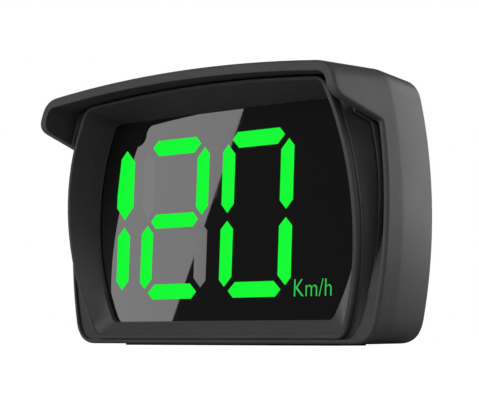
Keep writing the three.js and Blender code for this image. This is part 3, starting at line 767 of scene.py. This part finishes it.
def bezel_rings():
    """From the window's seat outwards to the flange behind the hood's rim."""
    throat = dict(LENS, bottom=LENS_BOTTOM, top=LENS["top"] + LENS_BOTTOM,
                  level=LENS["level"] + LENS_BOTTOM)
    seat = inset(throat, -1.1)
    limits = {"bottom": LOWEST, "top": HIGHEST}

    def blade(out):
        """The blade's outline let out, and held between the bezel's limits."""
        return inset(BLADE, -out, bottom=max(BLADE["bottom"] - out, LOWEST),
                     top=min(BLADE["top"] + out, HIGHEST))

    def held(wide, narrow):
        """Points of one outline, kept outside those of another."""
        return [max(pair, key=lambda p: abs(p.x)) for pair in zip(outline(wide), outline(narrow))]

    def lifted(points, y_of):
        return [Vector((p.x, y_of(p.y), p.y)) for p in points]

    ridge = [held(inset(RIDGE, d, bottom=LOWEST, top=HIGHEST - 0.1), blade(2.1 + 0.1 * n))
             for n, d in enumerate((0.5, 0.36, 0.14, -0.1, -0.26))]
    flange_thin = outline(inset(CASE, SIDE_RIM + 0.2, **limits))
    flange_thick = outline(inset(CASE, WALL + GAP, **limits))
    flange = [a.lerp(b, smooth_step(a.y, 40.5, 42.5)) for a, b in zip(flange_thin, flange_thick)]
    seat_rear = 2.7
    return [
        ring(seat, lambda z: lens_y(z) + 2.4),
        ring(seat, lambda z: lens_y(z) - 0.1),
        ring(throat, lambda z: lens_y(z) - 0.1),
        ring(inset(throat, -0.25), lambda z: lens_y(z) - 0.9),
        ring(inset(BLADE, 0.12), lambda z: blade_y(z) + 0.25),
        ring(blade(0.0), blade_y),
        ring(blade(0.7), lambda z: blade_y(z) + 0.05),
        ring(blade(0.9), lambda z: blade_y(z) + 0.3),
        ring(blade(1.0), lambda z: blade_y(z) + 0.55),
        ring(blade(0.9), lambda z: min(blade_y(z) + 1.5, pocket_y(z) - 0.3)),
        ring(blade(1.15), lambda z: min(blade_y(z) + 1.75, pocket_y(z) - 0.25)),
        ring(blade(1.45), lambda z: min(blade_y(z) + 1.55, pocket_y(z) - 0.2)),
        lifted(ridge[0], pocket_y),
        lifted(ridge[1], lambda z: ridge_y(z) + 0.25),
        lifted(ridge[2], ridge_y),
        lifted(ridge[3], ridge_y),
        lifted(ridge[4], lambda z: min(ridge_y(z) + 0.3, groove_y(z))),
        lifted(ridge[4], groove_y),
        lifted(flange, groove_y),
        lifted(flange, lambda z: max(groove_y(z) + 0.3, 1.4)),
        lifted(flange_thick, lambda z: max(groove_y(z) + 0.5, 1.9)),
        lifted(flange_thick, lambda z: seat_rear),
    ]


piece("bezel_frame_fine", loft(bezel_rings(), closed=True), bezel_plastic, "bezel", "bezel_frame")

# %% [markdown]
# ## Window and digits
#
# The window leans back a little, so its pieces are drawn upright from its lower edge and leant
# together. A digit is seven six-sided bars; each is a flat outline thickened along Y with its
# front edge bevelled. The tens digit shows its two unlit bars faintly, as milky plastic does, by a
# weak glow painted into them, while the unlit middle bar of the units is as dark as the window.

# %% Window plate
LEAN = PLACE @ Matrix.Translation((0, 0, LENS_BOTTOM)) @ Matrix.Rotation(-LENS_LEAN, 4, "X")
WINDOW_FRONT, WINDOW_BACK, WINDOW_EDGE = 0.1, 1.6, 0.15


def window_plate():
    """The glossy plate, with its edges broken in front and behind."""
    rim = inset(LENS, -0.8)
    face = inset(rim, WINDOW_EDGE)
    return loft([ring(face, WINDOW_FRONT), ring(rim, WINDOW_FRONT + WINDOW_EDGE),
                 ring(rim, WINDOW_BACK - WINDOW_EDGE), ring(face, WINDOW_BACK)])


piece("display_lens_fine", window_plate(), smoked_window, "lens", "display_lens", place=LEAN)

# %% Digit bars
DIGIT_WIDTH = 20.0
DIGIT_LOW, DIGIT_MID, DIGIT_HIGH = 4.6, 21.0, 38.2
LOWER_SHARE = (DIGIT_MID - DIGIT_LOW) / (DIGIT_HIGH - DIGIT_MID)
TENS_X, UNITS_X, HUNDREDS_X = -24.55, -0.65, -30.2
UPRIGHT, LEVEL = 3.6, 3.3                   # stroke widths of upright and level bars
TIP = 1.5                                   # how far a bar's tip stands out from its shoulders
LEVEL_START, UPRIGHT_START = 2.65, 2.35     # from the digit's corner to the bars' tips
MIDDLE_START, MIDDLE_GAP = 2.8, 0.8
BAR_FRONT, BAR_BACK, BAR_BEVEL = 0.08, 2.15, 0.04


def digit_bars(left, names):
    """Outlines of the named bars of a seven-bar digit, as (x, z) points."""
    right, top, mid = left + DIGIT_WIDTH, DIGIT_HIGH, DIGIT_MID
    centre = (left + right) / 2
    outer, inner = LEVEL_START + 1.45, LEVEL_START + 1.95
    across = [(left + LEVEL_START, top - TIP), (left + inner, top - LEVEL),
              (right - inner, top - LEVEL), (right - LEVEL_START, top - TIP),
              (right - outer, top), (left + outer, top)]
    foot = mid + MIDDLE_GAP
    upright = [(left + TIP, top - UPRIGHT_START), (left, top - UPRIGHT_START - TIP),
               (left, foot + UPRIGHT / 2), (left + UPRIGHT / 2, foot),
               (left + UPRIGHT, foot + UPRIGHT / 2),
               (left + UPRIGHT, top - UPRIGHT_START - UPRIGHT + TIP)]
    shoulder = MIDDLE_START + TIP
    middle = [(left + MIDDLE_START, mid), (left + shoulder, mid - TIP),
              (right - shoulder, mid - TIP), (right - MIDDLE_START, mid),
              (right - shoulder, mid + TIP), (left + shoulder, mid + TIP)]

    def flip(points, across_x, across_z):
        return [(2 * centre - x if across_x else x, mid - (z - mid) * LOWER_SHARE if across_z else z)
                for x, z in points]

    bars = {"a": across, "b": flip(upright, True, False), "c": flip(upright, True, True),
            "d": flip(across, False, True), "e": flip(upright, False, True), "f": upright,
            "g": middle}
    return {name: bars[name] for name in names}


def one_bar(half, low, high, clipped=0.0):
    """A bar of the lone 1. Its outer shoulder may be clipped, to follow the window's bowed edge."""
    x = HUNDREDS_X
    shoulder = [(x - half + clipped, high - half + clipped)]
    if clipped:
        shoulder.append((x - half, high - half - 8 * clipped))
    return [(x, high), *shoulder, (x - half, low + half), (x, low),
            (x + half, low + half), (x + half, high - half)]


def bar_shapes(outlines):
    return merged(*[prism(points, BAR_FRONT, BAR_BACK, bevel=BAR_BEVEL) for points in outlines])


def glow_only_to_the_eye(bars):
    """The bars are bright to look at but too weak to tint the bezel round them."""
    bars.visible_diffuse = bars.visible_glossy = False


ONE_LOW, ONE_HIGH = 6.7, 36.8
SHOWN = {
    "hundreds": [one_bar(2.65, DIGIT_MID + MIDDLE_GAP, ONE_HIGH, clipped=0.85),
                 one_bar(1.95, ONE_LOW, DIGIT_MID - MIDDLE_GAP)],
    "tens": digit_bars(TENS_X, "abged").values(),
    "units": digit_bars(UNITS_X, "abcdef").values(),
}
for digit, outlines in SHOWN.items():
    glow_only_to_the_eye(piece(f"bars_{digit}", bar_shapes(outlines), lit_green, "lit_bar",
                               f"diffuser_{digit}", place=LEAN))

# %% Unlit bars
# Strength of the glow painted into each unlit bar of the tens.
PAINTED_GLOW = {"c": 0.155, "f": 0.195}
unlit = [(PAINTED_GLOW[name], points) for name, points in digit_bars(TENS_X, "cf").items()]
dark_bars = piece("bars_unlit", bar_shapes([points for _, points in unlit]), unlit_bar_painted_glow, "mask",
                  place=LEAN)
# Each face of the unlit bars carries its bar's painted glow strength.
painted_glow = dark_bars.data.attributes.new("painted_glow", "FLOAT", "FACE")
per_bar = len(dark_bars.data.polygons) // len(unlit)
for index, share in enumerate(painted_glow.data):
    share.value = unlit[index // per_bar][0]
dark_middle = bar_shapes(digit_bars(UNITS_X, "g").values())
piece("bar_units_middle", moved(dark_middle, y=0.03), smoked_window, "lens", place=LEAN)
print("unlit bars", len(unlit) + 1)

# %% [markdown]
# ## The unit label
#
# The label's letters are thin strokes. A text object is the quick way to them; it is turned
# into a mesh at once, squeezed to the label's width, and set upright in the window.

# %% Unit label
LABEL = {"left": 20.35, "right": 30.15, "low": 4.55, "high": 7.95}
LABEL_THICKNESS = 0.3


def label_shape():
    """The unit's letters in the window's plane, thickened backwards."""
    curve = bpy.data.curves.new("unit_text", "FONT")
    curve.body = "Km/h"
    curve.resolution_u, curve.offset = 6, -0.012        # fine curves, slightly thinner strokes
    text = bpy.data.objects.new("unit_text", curve)
    bpy.context.scene.collection.objects.link(text)
    graph = bpy.context.evaluated_depsgraph_get()
    mesh = bpy.data.meshes.new_from_object(text.evaluated_get(graph))
    bpy.data.objects.remove(text)
    bm = bmesh.new()
    bm.from_mesh(mesh)
    xs, ys = [v.co.x for v in bm.verts], [v.co.y for v in bm.verts]
    for v in bm.verts:
        across = (v.co.x - min(xs)) / (max(xs) - min(xs))
        up = (v.co.y - min(ys)) / (max(ys) - min(ys))
        v.co = (between(LABEL["left"], LABEL["right"], across), BAR_FRONT,
                between(LABEL["low"], LABEL["high"], up))
    bmesh.ops.remove_doubles(bm, verts=bm.verts, dist=1e-4)
    made = bmesh.ops.extrude_face_region(bm, geom=bm.faces[:])["geom"]
    back = [v for v in made if isinstance(v, bmesh.types.BMVert)]
    bmesh.ops.translate(bm, verts=back, vec=(0, LABEL_THICKNESS, 0))
    bmesh.ops.recalc_face_normals(bm, faces=bm.faces)
    return bm


glow_only_to_the_eye(
    piece("unit_label", label_shape(), label_green, "lit_bar", "diffuser_unit_label", place=LEAN))

# %% Mask film behind the window
film = loft([ring(inset(LENS, 0.6), 2.16), ring(inset(LENS, 0.6), 2.3)])
piece("mask_film_fine", film, mask_film, "mask", "display_mask", place=LEAN)

# %% [markdown]
# ## The rear cover
#
# Behind, a flat plate closes the case, and a pod with rounded edges stands on it for the battery.
# Screws sit in counterbores, two buttons and the charging inlet come through the pod, and a
# sounder's slots are cut beside it. The plate and pod are lofts, and the openings are carved.

# %% Rear cover
def stadium(width, height, y0, y1, steps=10):
    """A slot with round ends, thickened along Y."""
    r = height / 2
    points = []
    for side, start in ((1, -pi / 2), (-1, pi / 2)):
        for i in range(steps + 1):
            a = start + pi * i / steps
            points.append((side * (width / 2 - r) + r * cos(a), r * sin(a)))
    return prism(points, y0, y1)


CASE_SCREWS = {"left_low": (-36.9, 8), "right_low": (36.9, 8),
               "left_high": (-36.2, 46.8), "right_high": (36.2, 46.8)}
SCREW_SEAT = 13.4
BUTTONS = {"power": 7.5, "units": 17.5}     # x of each button
BUTTON_Z, BUTTON_RADIUS = 16.0, 3.3
USB = {"x": 10.5, "z": 6.6, "width": 9.0, "height": 3.2}
REAR_ROUND, POD_WALL = 1.8, 1.8
POD_FLOOR = 3.9
THROUGH_PLATE, THROUGH_POD = (12, 15), (20.7, 24)       # y limits of what is cut through each
SOUND_SLOTS = dict(count=5, left=-35, pitch=1.9, width=1, low=20, high=30)


def plate_and_pod():
    """The back plate, a small fillet, and the pod with its rounded rear edge."""
    edge = inset(CASE, WALL + GAP)
    rings = [ring(tapered(edge, PLATE_FRONT), PLATE_FRONT)]
    rings.append(ring(tapered(edge, CASE_BACK - 0.3), CASE_BACK - 0.3))
    rings.append(ring(inset(tapered(edge, CASE_BACK), 0.3), CASE_BACK))
    rings.append(ring(inset(POD, -0.9, bottom=3.4), CASE_BACK))
    rings.append(ring(inset(POD, -0.25, bottom=3.2), CASE_BACK + 0.25))
    rings.append(ring(dict(POD, bottom=3.0), CASE_BACK + 0.7))
    rings.append(ring(POD, CASE_BACK + 1.0))
    rings.append(ring(inset(POD, 0.5), POD_BACK - REAR_ROUND))
    for step in range(1, 6):
        a = radians(18 * step)
        rings.append(ring(inset(POD, 0.5 + REAR_ROUND * (1 - cos(a))),
                          POD_BACK - REAR_ROUND + REAR_ROUND * sin(a)))
    return loft(rings)


def pod_room():
    """The battery's room inside the pod, open towards the case."""
    room = inset(POD, POD_WALL, bottom=POD_FLOOR)
    return loft([ring(room, 11), ring(inset(room, 0.7, bottom=POD_FLOOR), POD_BACK - POD_WALL)])


def bore(x, z, radius, y0, y1):
    """A round hole along Y."""
    return moved(turned([(0, y0), (radius, y0), (radius, y1), (0, y1)]), x=x, z=z)


def inlet_slot(less, y0, y1):
    """The inlet's round-ended section, smaller by a measure, between two depths."""
    return moved(stadium(USB["width"] - less, USB["height"] - less, y0, y1),
                 x=USB["x"], z=USB["z"])


cover = piece("rear_cover_fine", plate_and_pod(), case_plastic, "case", "rear_cover")
openings = [pod_room()]
for x, z in CASE_SCREWS.values():
    openings += [bore(x, z, 1.25, *THROUGH_PLATE), bore(x, z, 2.1, SCREW_SEAT, 15)]
openings += [bore(x, BUTTON_Z, BUTTON_RADIUS + GAP, *THROUGH_POD) for x in BUTTONS.values()]
openings.append(inlet_slot(-2 * GAP, *THROUGH_POD))
for i in range(SOUND_SLOTS["count"]):
    left = SOUND_SLOTS["left"] + SOUND_SLOTS["pitch"] * i
    openings.append(block(left, left + SOUND_SLOTS["width"], *THROUGH_PLATE,
                          SOUND_SLOTS["low"], SOUND_SLOTS["high"]))
openings.append(pad_recess(REAR_PAD))
carve(cover, openings)

# %% Screws in the back
def pan_head():
    """A pan-head screw along Y, seat at 0, head towards +Y."""
    profile = [(0, -4.1), (0.5, -3.9), (0.95, -3.2), (0.95, 0), (1.8, 0), (1.8, 0.45)]
    profile += [(0.95 + 0.85 * cos(a), 0.45 + 0.5 * sin(a)) for a in (pi / 8, pi / 4, 3 * pi / 8)]
    profile += [(0.95, 0.95), (0, 0.95)]
    return turned(profile, 32)


for name, (x, z) in CASE_SCREWS.items():
    head = moved(pan_head(), x=x, y=SCREW_SEAT + 0.05, z=z)
    made = piece(f"case_screw_{name}_fine", head, screw_steel, "screw", f"case_screw_{name}")
    carve(made, [block(x - 1.1, x + 1.1, 13.9, 15, z - 0.2, z + 0.2),
                 block(x - 0.2, x + 0.2, 13.9, 15, z - 1.1, z + 1.1)])

# %% [markdown]
# ## Buttons, feet and solar strip
#
# The buttons are turned caps with a dished top, and each carries a small raised mark so that a
# finger can tell them apart: a ring for power, two bars for the units. They ride on bodies of their
# own. The feet are rubber strips with round ends. The solar strip is six cells under a clear cover.

# %% Buttons
def cap():
    """Cap, retaining flange and stem, with a shallow dish in the face."""
    radius, face = BUTTON_RADIUS, POD_BACK + BUTTON_PROUD
    profile = [(0, 18.6), (1.5, 18.6), (1.5, 20.2), (4.2, 20.2), (4.2, 21.0), (radius, 21.0),
               (radius, face - 0.35)]
    profile += [(radius - 0.35 + 0.35 * cos(a), face - 0.35 + 0.35 * sin(a))
                for a in (pi / 8, pi / 4, 3 * pi / 8, pi / 2)]
    profile += [(radius * (1 - t), face - 0.3 * sin(t * pi / 2)) for t in (0.3, 0.5, 0.7, 0.85)]
    profile.append((0, face - 0.3))
    return turned(profile)


def ring_mark():
    """A ring with a short bar across its top, in the dish of the power button."""
    mark = turned([(1.0, 23.0), (1.0, 23.22), (1.3, 23.22), (1.3, 23.0), (1.0, 23.0)], 40)
    return merged(mark, block(-0.14, 0.14, 23.0, 23.26, 0.75, 1.7))


def bar_mark():
    """Two short bars in the dish of the units button."""
    return merged(moved(stadium(2.4, 0.4, 23.0, 23.24), z=0.45),
                  moved(stadium(2.4, 0.4, 23.0, 23.24), z=-0.45))


for name, mark in (("power", ring_mark()), ("units", bar_mark())):
    body = merged(cap(), mark)
    piece(f"{name}_button_fine", moved(body, x=BUTTONS[name], z=BUTTON_Z), button_plastic,
          "button", f"{name}_button", body=f"{name}_button")

# %% Feet
def foot(half, front, rear):
    """A rubber strip with round ends."""
    length, width = 2 * half, rear - front
    bm = bmesh.new()
    bmesh.ops.create_grid(bm, x_segments=int(length / 1.5), y_segments=4, size=0.5)
    bmesh.ops.scale(bm, verts=bm.verts, vec=(length, width, 1))
    corners = [v for v in bm.verts if abs(v.co.x) > half - 1e-3 and abs(v.co.y) > width / 2 - 1e-3]
    bmesh.ops.bevel(bm, geom=corners, offset=1.6, segments=5, profile=0.5, affect="VERTICES",
                    material=-1)
    made = bmesh.ops.extrude_face_region(bm, geom=bm.faces[:])["geom"]
    top = [v for v in made if isinstance(v, bmesh.types.BMVert)]
    bmesh.ops.translate(bm, verts=top, vec=(0, 0, PAD_THICKNESS))
    bmesh.ops.recalc_face_normals(bm, faces=bm.faces)
    return moved(bm, y=(front + rear) / 2)


piece("front_pad_fine", foot(**FRONT_PAD), pad_rubber, "rubber", "front_pad")
piece("rear_pad_fine", foot(**REAR_PAD), pad_rubber, "rubber", "rear_pad")

# %% Solar strip
CELLS, EDGE, SPACE = 6, 0.6, 0.5
COVER_DEPTHS, BUS_DEPTHS, CELL_DEPTHS = (0.06, 0.42), (0.53, 0.56), (0.56, 0.7)
pitch = 2 * (SOLAR["half"] - EDGE) / CELLS
for i in range(CELLS):
    x0 = -SOLAR["half"] + EDGE + i * pitch + SPACE / 2
    x1 = x0 + pitch - SPACE
    y0, y1 = SOLAR["front"] + EDGE, SOLAR["rear"] - EDGE
    silicon = roof_strip(x0, x1, y0, y1, *CELL_DEPTHS, 6)
    piece(f"solar_cell_{i + 1}_fine", silicon, solar_silicon, "solar_cell", f"solar_cell_{i + 1}")
    bars = [roof_strip(x - 0.35, x + 0.35, y0 + 0.3, y1 - 0.3, *BUS_DEPTHS, 2)
            for x in (between(x0, x1, 0.28), between(x0, x1, 0.72))]
    piece(f"bus_bars_{i + 1}", merged(*bars), bus_bar, "tin")
clear = roof_strip(-SOLAR["half"], SOLAR["half"], SOLAR["front"], SOLAR["rear"], *COVER_DEPTHS)
piece("solar_cover_fine", clear, solar_gloss, "solar_cover", "solar_cover")

# %% USB inlet shell
inlet = piece("usb_socket_fine", inlet_slot(0, 13.7, 22.6), tinned_sheet, "tin", "usb_socket")
carve(inlet, [inlet_slot(0.7, 15.5, 23.5)])

# %% [markdown]
# ## Camera, floor and light
#
# The camera stands at 45 degrees to the right and just above the floor. A white surround, as in a
# light tent, gives the pale background; it is white to the camera only, and dim to everything
# else. A large soft panel behind and to the right grazes the side, so that the rear of the case
# looks paler than the front across the crease. Softer panels fill the front, the right and the
# top. A card at the front left is there only for the window to mirror: half of the glass shows
# the card, and half shows the dark room beside it. The card's edge is worked out by mirroring the
# camera's rays in the window, at the two places where the edge should be seen.

# %% Camera
CAMERA_PLACE = Vector((258.81, -253.06, 1.67))          # from the window's edge, in millimetres
CAMERA_TURN, CAMERA_TILT = 45, 4.262                    # degrees to the right, and upwards
CAMERA_LENS, CAMERA_SENSOR = 134.64, 36

camera_data = bpy.data.cameras.new("camera")
camera = bpy.data.objects.new("camera", camera_data)
bpy.context.scene.collection.objects.link(camera)
camera.location = (CAMERA_PLACE + Vector((0, SHIFT, 0))) / 1000
camera.rotation_euler = (radians(90 + CAMERA_TILT), 0, radians(CAMERA_TURN))
camera_data.lens, camera_data.sensor_width = CAMERA_LENS, CAMERA_SENSOR
camera_data.clip_start, camera_data.clip_end = 0.01, 20
bpy.context.scene.camera = camera
print("camera distance in mm", round(1000 * camera.location.length))

# %% Floor and surround
FLOOR_RADIUS, FLOOR_GLOW, ROOM_LIGHT = 1.2, 0.86, 0.07

floor_shape = bmesh.new()
bmesh.ops.create_circle(floor_shape, cap_ends=True, segments=96, radius=FLOOR_RADIUS)
floor_mesh = bpy.data.meshes.new("floor")
floor_shape.to_mesh(floor_mesh)
floor = bpy.data.objects.new("floor", floor_mesh)
bpy.context.scene.collection.objects.link(floor)
paper = Finish("pale_floor", Roughness=0.9, Specular_IOR_Level=0.1)
fibre = paper.noise(30, 3)
watched = paper.node("ShaderNodeLightPath", output="Is Camera Ray")
paper.feed(Base_Color=paper.colour(fibre, grey(0.36), grey(0.38)),
           Emission_Color=paper.colour(watched, grey(0), grey(1)))
paper.shader.inputs["Emission Strength"].default_value = FLOOR_GLOW
floor.data.materials.append(paper.material)

world = bpy.data.worlds.new("light_tent")
bpy.context.scene.world = world
world.use_nodes = True
tent = world.node_tree
tent.nodes.clear()
white, room = tent.nodes.new("ShaderNodeBackground"), tent.nodes.new("ShaderNodeBackground")
for surround, strength in ((white, 1.0), (room, ROOM_LIGHT)):
    surround.inputs["Color"].default_value = grey(1.0)
    surround.inputs["Strength"].default_value = strength
seen = tent.nodes.new("ShaderNodeLightPath")
either = tent.nodes.new("ShaderNodeMixShader")
out = tent.nodes.new("ShaderNodeOutputWorld")
tent.links.new(seen.outputs["Is Camera Ray"], either.inputs["Fac"])
tent.links.new(room.outputs[0], either.inputs[1])
tent.links.new(white.outputs[0], either.inputs[2])
tent.links.new(either.outputs[0], out.inputs["Surface"])

# %% Lights
MIDDLE, UPWARDS, BACKWARDS = (0, 0, 0.03), (0, 0, 1), (0, 1, 0)


def panel(name, centre, size, radiance, facing=MIDDLE, up=UPWARDS, mirrored=True):
    """A rectangular soft light of an even brightness that faces a point, the object by default."""
    data = bpy.data.lights.new(name, "AREA")
    data.shape, (data.size, data.size_y) = "RECTANGLE", size
    data.energy = radiance * pi * size[0] * size[1]
    lamp = bpy.data.objects.new(name, data)
    bpy.context.scene.collection.objects.link(lamp)
    z = (Vector(centre) - Vector(facing)).normalized()
    x = Vector(up).cross(z).normalized()
    y = z.cross(x)
    lamp.matrix_world = Matrix.Translation(centre) @ Matrix((x, y, z)).transposed().to_4x4()
    lamp.visible_camera = False
    lamp.visible_glossy = mirrored
    return lamp


def mirrored_point(x, height, distance):
    """Where the camera, mirrored in the window at a place on it, looks after some distance."""
    normal = Vector((0, -cos(LENS_LEAN), sin(LENS_LEAN)))
    place = Vector((x, lens_y(height) + SHIFT, height)) / 1000
    ray = (place - camera.location).normalized()
    return place + (ray - 2 * ray.dot(normal) * normal) * distance


CARD_DISTANCE, CARD_SIZE = 0.4, (0.3, 0.3)
EDGE_HIGH, EDGE_LOW = (4.8, 47.5), (-14.0, 5.2)         # where the card's edge shows, (x, height)
edge_high = mirrored_point(*EDGE_HIGH, CARD_DISTANCE)
edge_low = mirrored_point(*EDGE_LOW, CARD_DISTANCE)
up = (edge_high - edge_low).normalized()
towards = (edge_high + edge_low) / 2
outward = towards.normalized().cross(up).normalized()
card_centre = towards + outward * CARD_SIZE[0] / 2
card = panel("mirror_card", card_centre, CARD_SIZE, 3.4,
             facing=card_centre - up.cross(outward), up=up)
window_pieces = bpy.data.collections.new("window_pieces")
for name in ("display_lens_fine", "bars_unlit", "bar_units_middle"):
    window_pieces.objects.link(bpy.data.objects[name])
card.light_linking.receiver_collection = window_pieces
panel("side_panel", (0.3, 0.8, 0.2), (0.9, 0.8), 2.0)
panel("low_panel", (0.5, 0.5, 0.05), (0.7, 0.1), 1.0)
panel("right_panel", (0.75, -0.55, 0.2), (0.6, 0.6), 1.3)
panel("top_panel", (0.1, -0.05, 1.1), (1.2, 1.2), 1.6, up=BACKWARDS, mirrored=False)
panel("front_fill", (-0.1, -0.95, 0.25), (0.7, 0.5), 1.4)
panel("left_fill", (-0.5, -0.85, 0.25), (0.6, 0.5), 8.0, mirrored=False)
bpy.context.scene.view_settings.view_transform = "Standard"
print("card centre in mm", [round(1000 * v) for v in card_centre])
